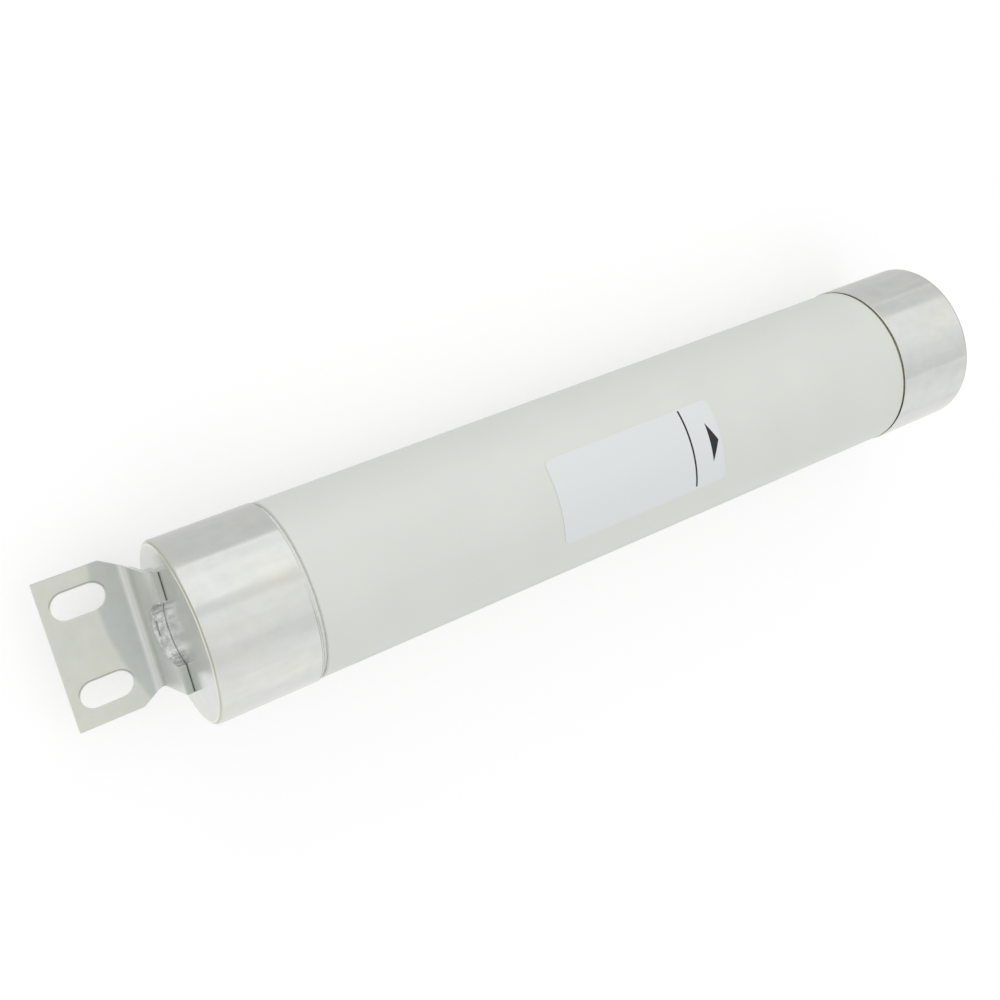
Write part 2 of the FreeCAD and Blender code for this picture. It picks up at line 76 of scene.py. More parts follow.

# The darker zone on the blade, by its reach, which is the distance out from the cap's face. It starts
# past the bend. Its outer edge slopes, curves and wavers across the blade.
DARK_START_REACH = 0.0102
DARK_SOFT = 0.0012
DARK_EDGE_REACH = 0.021
DARK_EDGE_SLOPE = -0.14
DARK_EDGE_CURVE = -4.5
DARK_EDGE_WAVER = 0.0010

# The bend's own tone ends at this reach, and a fine line runs along the bend.
BEND_REACH = 0.0100
BEND_SOFT = 0.0006
BEND_LINE_REACH = 0.0086
BEND_LINE_HALF = 0.00015
BEND_LINE_SOFT = 0.0004

# The web lies above a height and leans back by a slope. Its own tone stays in front of the plane
# whose reach at floor height is WEB_BACK. Higher still is the top of the fold.
WEB_Z = 0.0186
WEB_Z_SOFT = 0.0010
WEB_SLOPE = 0.20
WEB_BACK = 0.0097
WEB_BACK_SOFT = 0.0002
FOLD_TOP_Z = 0.0362
FOLD_SOFT = 0.0003

# The wall of the round hole through the fold, whose solder has lumps, their light and dark partly
# painted highlights and shade. Their depth is a multiple of that of the lines drawn on the sheet.
SOLDER_RADIUS = 0.01395
SOLDER_SOFT = 0.00015
SOLDER_LUMPS = 25.0
DRAWN_LINE_DEPTH = 0.00001

# Lines on the tag cap's rim, a painted highlight and a painted dark reflection beside it, by how far
# they lie inside the cap's radius, and the soft step at which the rim starts.
LIGHT_LINE_IN = 0.00165
LIGHT_LINE_HALF = 0.00012
DARK_LINE_IN = 0.00085
DARK_LINE_HALF = 0.0002
RIM_LINE_SOFT = 0.0004
RIM_SOFT = 0.0001

# The striker end's rim, a painted dark reflection, by how far it reaches in from the radius and from the
# end face.
STRIKER_RIM_IN = 0.0013
STRIKER_RIM_LENGTH = 0.0016
STRIKER_RIM_SOFT = 0.0003

# The painted shade line before the tag cap's open edge, and where across the fuse it fades out towards
# -X.
EDGE_LINE_IN = 0.0009
EDGE_LINE_HALF = 0.00008
EDGE_LINE_SOFT = 0.0003
EDGE_LINE_FADE_X = -0.008
EDGE_LINE_FADE = 0.010

# Steps in the barrel's tone: at the ground ends, the tag end's partly painted lighter against the
# groove's shade, in the glaze beside the striker's seam, and between the left and right sides of the dark
# tone in that seam, the right side darkened as painted shade.
TAG_GROUND_SOFT = 0.0001
STRIKER_GROUND_SOFT = 0.0002
SEAM_GLAZE_WIDTH = 0.0030
SEAM_GLAZE_SOFT = 0.0020
SEAM_SIDE_X = 0.014
SEAM_SIDE_SOFT = 0.008

# Finishes and painted light, as linear colours.
GLAZE = (0.700, 0.722, 0.672)
SEAM_GLAZE = (0.700, 0.718, 0.640)
# The striker seam's dark tone; its right side is darkened further as painted shade.
SEAM_DARK = (0.62, 0.61, 0.52)
# Bare ground ceramic, partly painted lighter to offset the shade in the tag end's groove.
BARE_CERAMIC_LIGHTENED = (0.86, 0.87, 0.83)
TIN = (0.750, 0.755, 0.730)
# A painted highlight and a painted dark reflection line for the tag cap's rim.
RIM_HIGHLIGHT_TIN = (0.870, 0.870, 0.790)
RIM_DARK_REFLECTION_TIN = (0.600, 0.600, 0.500)
TAG_TIN = (0.735, 0.745, 0.680)
BEND_TIN = (0.725, 0.735, 0.735)
WEB_TIN = (0.800, 0.812, 0.795)
DARK_TAG_TIN = (0.590, 0.612, 0.585)
# Solder's bright tone, which in part paints highlights on its lumps.
SOLDER_AND_GLINT = (0.930, 0.940, 0.930)
COOL_SMEAR = (0.965, 0.985, 1.02)
WARM_SMEAR = (1.015, 1.008, 0.955)
PAPER = (0.725, 0.750, 0.752)
INK = (0.006, 0.006, 0.005)

# How hard the edges of pinholes and scuffs are.
SPECK_HARDNESS = 20.0

# The inner pieces' metals: colour and roughness.
INNER_METALS = {
    "inner_cap_brass": ((0.78, 0.60, 0.30), 0.3),
    "contact_copper": ((0.80, 0.45, 0.32), 0.3),
    "element_silver": ((0.88, 0.87, 0.84), 0.25),
    "striker_steel": ((0.60, 0.60, 0.61), 0.28),
}

# The other inner pieces: colour, roughness, fineness of the grain and its depth.
INNER_SOLIDS = {
    "gasket_rubber": ((0.035, 0.035, 0.036), 0.7, 400.0, 0.00002),
    "core_ceramic": ((0.66, 0.60, 0.50), 0.65, 500.0, 0.00003),
    "quartz_sand": ((0.62, 0.54, 0.40), 0.9, 1600.0, 0.0002),
    "sleeve_board": ((0.30, 0.16, 0.08), 0.6, 350.0, 0.00003),
}

# The world's light, and the floor: its colour, its own glow and what direct rays add to that.
WORLD_LIGHT = 0.90
FLOOR_SIZE = 8.0
FLOOR_COLOUR = (0.56, 0.56, 0.56)
FLOOR_GLOW = 0.18
FLOOR_LIFT = 0.32

# The lamp beside the fuse: its distance from the axis, angle round it, size and power in watts.
LAMP_DISTANCE = 1.1
LAMP_ANGLE = -70.0
LAMP_SIZE = 0.7
LAMP_POWER = 1.5

# Spans of cards along the fuse. The tag's half shows the near ones and the striker's the far ones.
NEAR = (-1.6, 0.62)
FAR = (0.62, 2.4)
WHOLE = (-1.6, 2.4)
BARREL = (-0.095, 0.165)

# Cards beside and above the fuse: span, the two angles round it, and the level at each angle.
CARD_DISTANCE = 1.0
SIDE_CARDS = (
    ("card_window", NEAR, (-78.0, -42.0), (1.06, 1.08)),
    ("card_line", NEAR, (-42.0, -29.0), (0.86, 0.82)),
    ("card_left", NEAR, (-29.0, 14.0), (0.96, 0.88)),
    ("card_top", NEAR, (14.0, 30.0), (0.83, 0.82)),
    ("card_right", NEAR, (30.0, 60.0), (0.86, 0.965)),
    ("card_low_right", NEAR, (60.0, 90.0), (0.965, 0.99)),
    ("far_card_dark", FAR, (-92.0, -68.0), (0.74, 0.75)),
    ("far_card_left", FAR, (-68.0, -20.0), (0.955, 0.97)),
    ("far_card_top", FAR, (-20.0, 31.0), (0.95, 0.735)),
    ("far_card_right", FAR, (34.0, 58.0), (0.83, 0.91)),
    ("far_card_low_right", FAR, (58.0, 90.0), (0.92, 0.925)),
)

# Cards just above the floor, painted shade that stands in for the floor's shade beside the fuse in
# reflections: span, height, the two distances beside the fuse, and the levels there.
FLOOR_CARDS = (
    ("floor_card_left", WHOLE, 0.001, (-0.036, -0.60), (0.70, 0.70)),
    ("floor_card_right", NEAR, 0.001, (0.036, 2.5), (0.91, 0.99)),
    ("far_floor_card_right", FAR, 0.001, (0.036, 2.5), (0.80, 0.92)),
    ("barrel_floor_card", BARREL, 0.0015, (0.050, 0.150), (0.60, 0.90)),
)

# The upright card past the tag's end.
END_CARD_Y = -1.5
END_CARD_HALF_WIDTH = 1.2
END_CARD_HEIGHT = 0.75
END_CARD_TONE = (0.62, 0.615, 0.56)


class Nodes:
    """A node tree with short ways to add nodes, links and sums."""

    def __init__(self, tree):
        self.tree = tree

    def node(self, kind, **values):
        """A new node with the given settings and input values."""
        made = self.tree.nodes.new(kind)
        for key, value in values.items():
            if key in made.inputs:
                made.inputs[key].default_value = value
            else:
                setattr(made, key, value)
        return made

    def link(self, output, target):
        """Feed a socket from an output."""
        self.tree.links.new(output, target)

    def feed(self, target, value):
        """Feed a socket from an output, or set it to a number, a vector or a colour."""
        if isinstance(value, bpy.types.NodeSocket):
            self.link(value, target)
        elif target.type == "RGBA":
            target.default_value = (*value, 1.0)
        else:
            target.default_value = value

    def math(self, operation, *values):
        """The result of a Math node; each value is a number or an output."""
        made = self.node("ShaderNodeMath", operation=operation)
        for socket, value in zip(made.inputs, values):
            self.feed(socket, value)
        return made.outputs[0]

    def vector_math(self, operation, *values):
        """The result of a Vector Math node; each value is a vector or an output."""
        made = self.node("ShaderNodeVectorMath", operation=operation)
        for socket, value in zip(made.inputs, values):
            self.feed(socket, value)
        return made.outputs[0]

    def remap(self, value, low, high):
        """A mask from 0 to 1 stretched to a range."""
        made = self.node("ShaderNodeMapRange")
        self.link(value, made.inputs["Value"])
        made.inputs["To Min"].default_value = low
        made.inputs["To Max"].default_value = high
        return made.outputs["Result"]

    def clamp(self, value):
        """A value held between 0 and 1."""
        made = self.node("ShaderNodeClamp")
        self.link(value, made.inputs["Value"])
        return made.outputs[0]


class Effect(Nodes):
    """A shared node group: it takes a place and settings, and gives masks from 0 to 1."""

    def __init__(self, name, masks, **settings):
        super().__init__(bpy.data.node_groups.new(name, "ShaderNodeTree"))
        self.tree.interface.new_socket("Vector", in_out="INPUT", socket_type="NodeSocketVector")
        for label, value in settings.items():
            kind = "NodeSocketVector" if isinstance(value, tuple) else "NodeSocketFloat"
            socket = self.tree.interface.new_socket(label, in_out="INPUT", socket_type=kind)
            socket.default_value = value
        for label in masks:
            self.tree.interface.new_socket(label, in_out="OUTPUT", socket_type="NodeSocketFloat")
        self.given = self.node("NodeGroupInput").outputs
        self.masks = self.node("NodeGroupOutput").inputs

    def give(self, label, *factors):
        """Give a mask, which is the product of one or two others."""
        product = factors[0]
        for factor in factors[1:]:
            product = self.math("MULTIPLY", product, factor)
        self.link(product, self.masks[label])

    def noise(self, place, detail, roughness):
        """Cloudy noise at the effect's scale."""
        made = self.node("ShaderNodeTexNoise", Detail=detail, Roughness=roughness)
        self.link(place, made.inputs["Vector"])
        self.link(self.given["Scale"], made.inputs["Scale"])
        return made.outputs["Fac"]

    def axes(self):
        """The X, Y and Z of the effect's place."""
        parts = self.node("ShaderNodeSeparateXYZ")
        self.link(self.given["Vector"], parts.inputs[0])
        return [parts.outputs[axis] for axis in "XYZ"]

    def radius(self, x, z):
        """The distance from the fuse's axis."""
        height = self.math("SUBTRACT", z, AXIS_Z)
        square = self.math("MULTIPLY", x, x)
        return self.math("SQRT", self.math("MULTIPLY_ADD", height, height, square))

    def step(self, value, start, end):
        """0 at the start and 1 at the end, smooth between."""
        made = self.node("ShaderNodeMapRange", interpolation_type="SMOOTHSTEP")
        self.link(value, made.inputs["Value"])
        made.inputs["From Min"].default_value = start
        made.inputs["From Max"].default_value = end
        return made.outputs["Result"]

    def past(self, value, place, soft):
        """1 past a place and 0 before it, with a soft step."""
        return self.step(value, place - soft, place + soft)

    def before(self, value, place, soft):
        """1 before a place and 0 past it, with a soft step."""
        return self.step(value, place + soft, place - soft)

    def band(self, value, centre, half, soft):
        """1 within a half width of the centre, with soft sides."""
        off = self.math("ABSOLUTE", self.math("SUBTRACT", value, centre))
        return self.step(off, half + soft, half)

    def within(self, value, low, high):
        """1 between two values, with hard sides."""
        above = self.math("GREATER_THAN", value, low)
        below = self.math("LESS_THAN", value, high)
        return self.math("MULTIPLY", above, below)


class Shader(Nodes):
    """A material's node tree with its Principled shader and object coordinates."""

    def __init__(self, name, roughness, metallic=0.0):
        self.material = bpy.data.materials.new(name)
        self.material.use_nodes = True
        super().__init__(self.material.node_tree)
        self.main = self.tree.nodes["Principled BSDF"]
        self.main.inputs["Roughness"].default_value = roughness
        self.main.inputs["Metallic"].default_value = metallic
        self.place = self.node("ShaderNodeTexCoord").outputs["Object"]

    def group(self, tree, **values):
        """A shared effect placed in this material and fed with object coordinates; gives its outputs."""
        made = self.node("ShaderNodeGroup")
        made.node_tree = tree
        self.link(self.place, made.inputs["Vector"])
        for key, value in values.items():
            self.feed(made.inputs[key], value)
        return made.outputs

    def blend(self, mask, first, second):
        """The first colour where a mask is 0 and the second where it is 1."""
        mix = self.node("ShaderNodeMix", data_type="RGBA")
        self.link(mask, mix.inputs[0])
        self.feed(mix.inputs[6], first)
        self.feed(mix.inputs[7], second)
        return mix.outputs[2]

    def tint(self, colour, level):
        """A colour made lighter or darker by a level near 1."""
        scaled = self.node("ShaderNodeVectorMath", operation="SCALE")
        self.link(colour, scaled.inputs[0])
        self.link(level, scaled.inputs["Scale"])
        return scaled.outputs[0]

    def bump(self, height, depth):
        """Relief on the surface, in metres of depth."""
        made = self.node("ShaderNodeBump", Distance=depth, Strength=1.0)
        self.link(height, made.inputs["Height"])
        self.link(made.outputs["Normal"], self.main.inputs["Normal"])

    def colour(self, output):
        """Set the surface's colour."""
        self.link(output, self.main.inputs["Base Color"])

    def roughness(self, output):
        """Set the surface's roughness."""
        self.link(output, self.main.inputs["Roughness"])


def mottle_effect():
    """Soft cloudy patches."""
    effect = Effect("mottle", ["Mask"], Scale=40.0, Contrast=1.0)
    noise = effect.noise(effect.given["Vector"], detail=4.0, roughness=0.55)
    centred = effect.math("SUBTRACT", noise, 0.5)
    effect.give("Mask", effect.clamp(effect.math("MULTIPLY_ADD", centred, effect.given["Contrast"], 0.5)))
    return effect.tree


def streak_effect():
    """Fine drawn lines that are short along one axis and long along the others."""
    effect = Effect("streaks", ["Mask"], Stretch=(1.0, 1.0, 1.0), Scale=200.0)
    place = effect.vector_math("MULTIPLY", effect.given["Vector"], effect.given["Stretch"])
    effect.give("Mask", effect.noise(place, detail=3.0, roughness=0.6))
    return effect.tree


def speck_effect():
    """Sparse round specks: 1 inside a speck and 0 elsewhere."""
    effect = Effect("specks", ["Mask"], Scale=150.0, Size=0.1)
    cells = effect.node("ShaderNodeTexVoronoi")
    effect.link(effect.given["Vector"], cells.inputs["Vector"])
    effect.link(effect.given["Scale"], cells.inputs["Scale"])
    inside = effect.math("SUBTRACT", effect.given["Size"], cells.outputs["Distance"])
    effect.give("Mask", effect.clamp(effect.math("MULTIPLY", inside, SPECK_HARDNESS)))
    return effect.tree


def print_effect():
    """The label's ink, from the place round and along the fuse."""
    effect = Effect("label_print", ["Mask"])
    x, y, z = effect.axes()
    angle = effect.math("ARCTAN2", x, effect.math("SUBTRACT", z, AXIS_Z))
    half_line = PRINT_LINE_WIDTH / 2
    across = effect.within(y, PRINT_LINE_Y - half_line, PRINT_LINE_Y + half_line)
    along = effect.within(angle, math.radians(PRINT_LINE_FROM), math.radians(PRINT_LINE_TO))
    line = effect.math("MULTIPLY", across, along)

    # The triangle's half width shrinks from its base to nothing at its tip.
    from_tip = effect.math("SUBTRACT", TRIANGLE_TIP_Y, y)
    taper = math.radians(TRIANGLE_HALF_ANGLE) / (TRIANGLE_TIP_Y - TRIANGLE_BASE_Y)
    half_width = effect.math("MULTIPLY", from_tip, taper)
    off_middle = effect.math("ABSOLUTE", effect.math("SUBTRACT", angle, math.radians(TRIANGLE_MIDDLE)))
    inside = effect.math("LESS_THAN", off_middle, half_width)
    past_base = effect.math("GREATER_THAN", y, TRIANGLE_BASE_Y)
    triangle = effect.math("MULTIPLY", inside, past_base)
    effect.give("Mask", effect.math("MAXIMUM", line, triangle))
    return effect.tree


def tag_zones_effect():
    """Masks over the tag: its darker zone, dark lines beside the slots, bend, bend line, web, fold and
    solder.
    """
    masks = ["Darker Zone", "Slot Line", "Bend", "Bend Line", "Web", "Fold", "Solder"]
    effect = Effect("tag_wear", masks, Waver=0.5)
    x, y, z = effect.axes()
    reach = effect.math("SUBTRACT", TAG_FACE_Y, y)

    # The darker zone's outer edge is curved and comes closer to the cap towards +X.
    sloped = effect.math("MULTIPLY_ADD", x, DARK_EDGE_SLOPE, DARK_EDGE_REACH)
    curved = effect.math("MULTIPLY_ADD", effect.math("MULTIPLY", x, x), DARK_EDGE_CURVE, sloped)
    waver = effect.math("SUBTRACT", effect.given["Waver"], 0.5)
    edge = effect.math("MULTIPLY_ADD", waver, DARK_EDGE_WAVER, curved)
    inside = effect.past(effect.math("SUBTRACT", edge, reach), 0.0, DARK_SOFT)
    effect.give("Darker Zone", inside, effect.past(reach, DARK_START_REACH, DARK_SOFT))

    # A dark line runs beside each slot, on the side towards -X.
    across = effect.math("MULTIPLY_ADD", effect.math("SIGN", x), -SLOT_ACROSS, x)
    off_middle = effect.math("ABSOLUTE", effect.math("SUBTRACT", y, SLOT_Y))
    past_straight = effect.math("MAXIMUM", effect.math("SUBTRACT", off_middle, SLOT_HALF_STRAIGHT), 0.0)
    square = effect.math("MULTIPLY", across, across)
    total = effect.math("MULTIPLY_ADD", past_straight, past_straight, square)
    from_edge = effect.math("SUBTRACT", effect.math("SQRT", total), SLOT_RADIUS)
    ring = effect.band(from_edge, SLOT_LINE_OFF, SLOT_LINE_HALF, SLOT_LINE_SOFT)
    effect.give("Slot Line", ring, effect.before(across, -SLOT_LINE_FADE, SLOT_LINE_FADE))

    effect.give("Bend", effect.before(reach, BEND_REACH, BEND_SOFT))
    effect.give("Bend Line", effect.band(reach, BEND_LINE_REACH, BEND_LINE_HALF, BEND_LINE_SOFT))

    # The web leans, so its height is worked into its reach; what lies behind it is left out.
    leaning = effect.math("MULTIPLY_ADD", z, WEB_SLOPE, reach)
    in_front = effect.past(leaning, WEB_BACK, WEB_BACK_SOFT)
    effect.give("Web", in_front, effect.past(z, WEB_Z, WEB_Z_SOFT))
    effect.give("Fold", effect.past(z, FOLD_TOP_Z, FOLD_SOFT))
    effect.give("Solder", effect.before(effect.radius(x, z), SOLDER_RADIUS, SOLDER_SOFT))
    return effect.tree


def cap_painted_light_effect():
    """Masks of painted light over the caps: a highlight and a dark reflection line on the tag end's rim,
    a dark reflection on the striker's rim and a shade line before the tag cap's open edge.
    """
    effect = Effect("cap_wear", ["Rim Highlight", "Rim Dark Reflection", "Striker Rim Dark Reflection", "Edge Shade Line"])
    x, y, z = effect.axes()
    radius = effect.radius(x, z)
    at_rim = effect.before(y, TAG_FACE_Y + RIM_RADIUS - RIM_SOFT, RIM_SOFT)
    # A painted highlight line and a painted dark reflection line on the tag cap's rim.
    light = effect.band(radius, CAP_RADIUS - LIGHT_LINE_IN, LIGHT_LINE_HALF, RIM_LINE_SOFT)
    dull = effect.band(radius, CAP_RADIUS - DARK_LINE_IN, DARK_LINE_HALF, RIM_LINE_SOFT)
    effect.give("Rim Highlight", light, at_rim)
    effect.give("Rim Dark Reflection", dull, at_rim)
    # The striker end's rim, darkened all round as a painted dark reflection.
    outer = effect.past(radius, CAP_RADIUS - STRIKER_RIM_IN, STRIKER_RIM_SOFT)
    at_end = effect.past(y, STRIKER_FACE_Y - STRIKER_RIM_LENGTH, STRIKER_RIM_SOFT)
    effect.give("Striker Rim Dark Reflection", outer, at_end)
    # A painted shade line before the tag cap's open edge, fading out towards -X.
    line = effect.band(y, TAG_CAP_EDGE_Y - EDGE_LINE_IN, EDGE_LINE_HALF, EDGE_LINE_SOFT)
    effect.give("Edge Shade Line", line, effect.past(x, EDGE_LINE_FADE_X, EDGE_LINE_FADE))
    return effect.tree


def barrel_end_effect():
    """Masks over the barrel: its ground ends, the glaze by the striker's seam and the right side, which
    darkens the striker's seam as painted shade.
    """
    effect = Effect("barrel_ends", ["Tag Ground", "Striker Ground", "Striker Glaze", "Right"])
    x, y, _ = effect.axes()
    effect.give("Tag Ground", effect.before(y, GLAZE_LOW_Y - TAG_GROUND_SOFT, TAG_GROUND_SOFT))
    effect.give("Striker Ground", effect.past(y, GLAZE_HIGH_Y - STRIKER_GROUND_SOFT, STRIKER_GROUND_SOFT))
    effect.give("Striker Glaze", effect.past(y, GLAZE_HIGH_Y - SEAM_GLAZE_WIDTH, SEAM_GLAZE_SOFT))
    # The right side, where the striker's seam is darkened as painted shade.
    effect.give("Right", effect.past(x, SEAM_SIDE_X, SEAM_SIDE_SOFT))
    return effect.tree


MOTTLE = mottle_effect()
STREAKS = streak_effect()
SPECKS = speck_effect()
LABEL_PRINT = print_effect()
TAG_ZONES = tag_zones_effect()
CAP_PAINTED_LIGHT = cap_painted_light_effect()
BARREL_ENDS = barrel_end_effect()


def darker(colour, share):
    """A colour at a share of its brightness, which may also be above 1."""
    return tuple(channel * share for channel in colour)


def glazed_barrel():
    """Pale glaze with faint clouds and a few pinholes, bare ground ends, the tag end's partly painted
    lighter against its groove's shade, and a dark tone in one seam whose right side is painted shade.
    """
    shader = Shader("glazed_barrel", roughness=0.30)
    clouds = shader.group(MOTTLE, Scale=28.0, Contrast=1.4)["Mask"]
    pinholes = shader.group(SPECKS, Scale=110.0, Size=0.055)["Mask"]
    ends = shader.group(BARREL_ENDS)
    tone = shader.blend(clouds, darker(GLAZE, 0.975), darker(GLAZE, 1.02))
    tone = shader.blend(pinholes, tone, darker(GLAZE, 0.86))
    tone = shader.blend(ends["Striker Glaze"], tone, SEAM_GLAZE)
    # The striker seam's dark tone, darkened further on the right side as painted shade.
    seam_tone = shader.blend(ends["Right"], SEAM_DARK, darker(SEAM_DARK, 0.25))
    tone = shader.blend(ends["Striker Ground"], tone, seam_tone)
    # The tag end's bare ground, partly painted lighter to offset the groove's shade.
    shader.colour(shader.blend(ends["Tag Ground"], tone, BARE_CERAMIC_LIGHTENED))
    shader.roughness(shader.remap(clouds, 0.26, 0.36))
    shader.bump(shader.group(MOTTLE, Scale=75.0, Contrast=1.0)["Mask"], 0.00006)
    return shader.material


def tin_tone(shader, colour, scuff_size):
    """A tin colour with warm, cool and dull smears and small scuffs; also gives its smear mask."""
    smears = shader.group(MOTTLE, Scale=45.0, Contrast=1.8)["Mask"]
    patches = shader.group(MOTTLE, Scale=130.0, Contrast=2.2)["Mask"]
    scuffs = shader.group(SPECKS, Scale=190.0, Size=scuff_size)["Mask"]
    tone = shader.vector_math("MULTIPLY", colour, shader.blend(smears, COOL_SMEAR, WARM_SMEAR))
    tone = shader.tint(tone, shader.remap(patches, 0.96, 1.03))
    return shader.tint(tone, shader.remap(scuffs, 1.0, 0.88)), smears


def tinned_cap():
    """Bright tin plate with smears along the fuse, painted highlight and dark reflection lines on the
    rims and a fine painted shade line by the tag cap's open edge.
    """
    shader = Shader("tinned_cap", roughness=0.18, metallic=1.0)
    tone, smears = tin_tone(shader, TIN, scuff_size=0.07)
    drag = shader.group(STREAKS, Stretch=(1.0, 0.12, 1.0), Scale=260.0)["Mask"]
    tone = shader.tint(tone, shader.remap(drag, 0.94, 1.05))
    # These cap marks are all painted light: highlights, dark reflections and shade.
    marks = shader.group(CAP_PAINTED_LIGHT)
    # Painted highlight and painted dark reflection lines on the tag cap's rim.
    tone = shader.blend(marks["Rim Highlight"], tone, RIM_HIGHLIGHT_TIN)
    tone = shader.blend(marks["Rim Dark Reflection"], tone, RIM_DARK_REFLECTION_TIN)
    # Painted dark reflection round the striker end's rim.
    tone = shader.blend(marks["Striker Rim Dark Reflection"], tone, darker(TIN, 0.52))
    # Painted shade line before the tag cap's open edge.
    shader.colour(shader.blend(marks["Edge Shade Line"], tone, darker(TIN, 0.72)))
    shader.roughness(shader.remap(smears, 0.13, 0.24))
    lines = shader.group(STREAKS, Stretch=(1.0, 0.06, 1.0), Scale=600.0)["Mask"]
    shader.bump(lines, DRAWN_LINE_DEPTH)
    return shader.material


def tinned_tag():
    """Satin tin on the tag, darker beside the bend, with dark lines beside the slots, a bend line and
    lumpy solder whose light and dark lumps are partly painted highlights and shade.
    """
    shader = Shader("tinned_tag", roughness=0.34, metallic=1.0)
    marks = shader.group(TAG_ZONES, Waver=shader.group(MOTTLE, Scale=110.0, Contrast=1.6)["Mask"])
    base = shader.blend(marks["Darker Zone"], TAG_TIN, DARK_TAG_TIN)
    base = shader.blend(marks["Bend"], base, BEND_TIN)
    base = shader.blend(marks["Web"], base, WEB_TIN)
    base = shader.blend(marks["Fold"], base, DARK_TAG_TIN)
    tone, smears = tin_tone(shader, base, scuff_size=0.05)
    lumps = shader.group(MOTTLE, Scale=330.0, Contrast=3.4)["Mask"]
    # Solder round the hole: its light and dark lumps are partly painted highlights and shade.
    tone = shader.blend(marks["Solder"], tone, shader.blend(lumps, darker(SOLDER_AND_GLINT, 0.60), SOLDER_AND_GLINT))
    tone = shader.blend(marks["Slot Line"], tone, darker(TAG_TIN, 0.58))
    shader.colour(shader.blend(marks["Bend Line"], tone, darker(TAG_TIN, 0.88)))
    shader.roughness(shader.remap(smears, 0.28, 0.42))
    lines = shader.group(STREAKS, Stretch=(0.08, 1.0, 1.0), Scale=600.0)["Mask"]
    solder_lumps = shader.math("MULTIPLY", lumps, marks["Solder"])
    shader.bump(shader.math("MULTIPLY_ADD", solder_lumps, SOLDER_LUMPS, lines), DRAWN_LINE_DEPTH)
    return shader.material


def label_paper():
    """Satin paper with its printed line and triangle."""
    shader = Shader("label_paper", roughness=0.42)
    ink = shader.group(LABEL_PRINT)["Mask"]
    grain = shader.group(MOTTLE, Scale=900.0, Contrast=1.0)["Mask"]
    tone = shader.blend(grain, darker(PAPER, 0.985), darker(PAPER, 1.01))
    shader.colour(shader.blend(ink, tone, INK))
    shader.bump(grain, 0.000008)
    return shader.material


def inner_metal(name, colour, roughness):
    """Metal of an inner piece, with light smears."""
    shader = Shader(name, roughness=roughness, metallic=1.0)
    smears = shader.group(MOTTLE, Scale=90.0, Contrast=1.6)["Mask"]
    shader.colour(shader.blend(smears, darker(colour, 0.9), colour))
    shader.roughness(shader.remap(smears, roughness * 0.8, roughness * 1.3))
    return shader.material


def inner_solid(name, colour, roughness, fineness, depth):
    """Matt material of an inner piece, with an even grain."""
    shader = Shader(name, roughness=roughness)
    grain = shader.group(MOTTLE, Scale=fineness, Contrast=2.0)["Mask"]
    shader.colour(shader.blend(grain, darker(colour, 0.82), colour))
    shader.bump(grain, depth)
    return shader.material


finishes = {
    "glazed_barrel": glazed_barrel(),
    "tinned_cap": tinned_cap(),
    "tinned_tag": tinned_tag(),
    "label_paper": label_paper(),
}
for name, values in INNER_METALS.items():
    finishes[name] = inner_metal(name, *values)
for name, values in INNER_SOLIDS.items():
    finishes[name] = inner_solid(name, *values)

for part in frame["record"]["subparts"]:
    shown = frame["nodes"][part["node"]]
    shown.data.materials.clear()
    shown.data.materials.append(finishes[part["material_slot"]])


def make_camera():
    """The photograph's own viewpoint."""
    data = bpy.data.cameras.new("photo_camera")
    data.lens = CAMERA_LENS
    data.sensor_width = CAMERA_SENSOR
    camera = bpy.data.objects.new("photo_camera", data)
    back = -CAMERA_FORWARD.normalized()
    right = CAMERA_UP.cross(back).normalized()
    turn = Matrix((right, back.cross(right), back)).transposed()
    camera.matrix_world = Matrix.Translation(CAMERA_AT) @ turn.to_4x4()
    bpy.context.scene.collection.objects.link(camera)
    bpy.context.scene.camera = camera


def seen_directly(nodes):
    """1 for rays that show the background: from the camera, in metal and through glass."""
    path = nodes.node("ShaderNodeLightPath").outputs
    direct = path["Is Camera Ray"]
    for ray in ("Is Glossy Ray", "Is Transmission Ray"):
        direct = nodes.math("MAXIMUM", direct, path[ray])
    return direct


def make_world():
    """An even white surround: its light is a little below white, and it shows as white."""
    world = bpy.data.worlds.new("studio")
    bpy.context.scene.world = world
    world.use_nodes = True
    nodes = Nodes(world.node_tree)
    background = nodes.tree.nodes["Background"].inputs
    background["Color"].default_value = (1.0, 1.0, 1.0, 1.0)
    nodes.link(nodes.remap(seen_directly(nodes), WORLD_LIGHT, 1.0), background["Strength"])


def bare_material(name):
    """A new material without its shader, and its nodes."""
    material = bpy.data.materials.new(name)
    material.use_nodes = True
    nodes = Nodes(material.node_tree)
    nodes.tree.nodes.remove(nodes.tree.nodes["Principled BSDF"])
    return material, nodes


def make_floor():
    """A pale sheet under the fuse that shows white and keeps a soft shadow."""
    bpy.ops.mesh.primitive_plane_add(size=FLOOR_SIZE, location=(0.0, 0.0, 0.0))
    floor = bpy.context.object
    floor.name = "floor"
    material, nodes = bare_material("floor_sheet")
    diffuse = nodes.node("ShaderNodeBsdfDiffuse", Color=(*FLOOR_COLOUR, 1.0))
    glow = nodes.node("ShaderNodeEmission")
    level = nodes.math("MULTIPLY_ADD", seen_directly(nodes), FLOOR_LIFT, FLOOR_GLOW)
    nodes.link(level, glow.inputs["Strength"])
    both = nodes.node("ShaderNodeAddShader")
    nodes.link(diffuse.outputs[0], both.inputs[0])
    nodes.link(glow.outputs[0], both.inputs[1])
    nodes.link(both.outputs[0], nodes.tree.nodes["Material Output"].inputs["Surface"])
    floor.data.materials.append(material)


def round_fuse(distance, angle, y=0.0):
    """A place round the fuse's axis; angle 0 is straight up and 90 is towards +X."""
    turn = math.radians(angle)
    return Vector((distance * math.sin(turn), y, AXIS_Z + distance * math.cos(turn)))


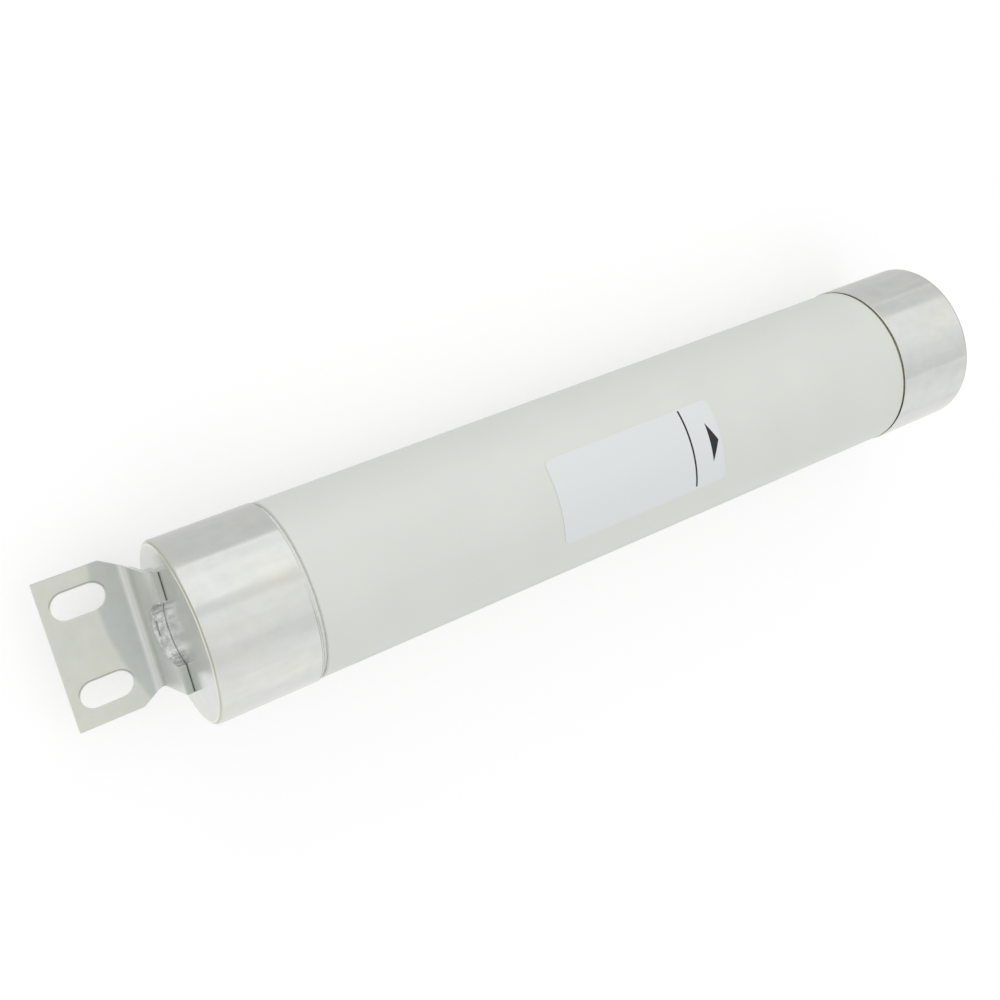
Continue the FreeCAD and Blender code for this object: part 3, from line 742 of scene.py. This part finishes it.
def make_lamp():
    """A soft square lamp that faces the fuse and leaves no image of itself in the metal."""
    data = bpy.data.lights.new("key_lamp", "AREA")
    data.shape = "SQUARE"
    data.size = LAMP_SIZE
    data.energy = LAMP_POWER
    lamp = bpy.data.objects.new("key_lamp", data)
    lamp.location = round_fuse(LAMP_DISTANCE, LAMP_ANGLE)
    lamp.visible_glossy = False
    towards_fuse = Vector((0.0, 0.0, AXIS_Z)) - lamp.location
    lamp.rotation_euler = towards_fuse.to_track_quat("-Z", "Y").to_euler()
    bpy.context.scene.collection.objects.link(lamp)


def make_card(name, first_edge, last_edge, first_tone, last_tone):
    """A flat card that only shows in reflections, graded between two edges of two corners each."""
    mesh = bpy.data.meshes.new(name)
    corners = [*first_edge, *reversed(last_edge)]
    mesh.from_pydata(corners, [], [tuple(range(len(corners)))])
    colours = mesh.color_attributes.new("tone", "FLOAT_COLOR", "POINT")
    for point, tone in zip(colours.data, [first_tone] * 2 + [last_tone] * 2):
        point.color = (*tone, 1.0)
    card = bpy.data.objects.new(name, mesh)
    bpy.context.scene.collection.objects.link(card)
    material, nodes = bare_material(name)
    colour = nodes.node("ShaderNodeAttribute", attribute_name="tone")
    glow = nodes.node("ShaderNodeEmission")
    nodes.link(colour.outputs["Color"], glow.inputs["Color"])
    nodes.link(glow.outputs[0], nodes.tree.nodes["Material Output"].inputs["Surface"])
    mesh.materials.append(material)
    card.visible_camera = False
    card.visible_diffuse = False
    card.visible_transmission = False
    card.visible_shadow = False
    card.visible_volume_scatter = False


def make_side_card(name, span, angles, levels):
    """A card beside or above the fuse, over a span of its length."""
    edges = [[round_fuse(CARD_DISTANCE, angle, y) for y in span] for angle in angles]
    make_card(name, *edges, *[(level, level, level) for level in levels])


def make_floor_card(name, span, z, distances, levels):
    """A strip just above the floor, over a span of the fuse's length, that shows as painted shade on the
    floor in reflections.
    """
    edges = [[Vector((x, y, z)) for y in span] for x in distances]
    make_card(name, *edges, *[(level, level, level) for level in levels])


def make_end_card():
    """An upright card of one tone past the tag's end, across the fuse's axis."""
    sides = (-END_CARD_HALF_WIDTH, END_CARD_HALF_WIDTH)
    edges = [[Vector((x, END_CARD_Y, z)) for x in sides] for z in (0.0, END_CARD_HEIGHT)]
    make_card("card_end", *edges, END_CARD_TONE, END_CARD_TONE)


make_camera()
make_world()
make_floor()
make_lamp()
for card in SIDE_CARDS:
    make_side_card(*card)
# Painted shade on the floor beside the fuse, seen only in reflections.
for card in FLOOR_CARDS:
    make_floor_card(*card)
make_end_card()

bpy.context.scene.view_settings.view_transform = "Standard"
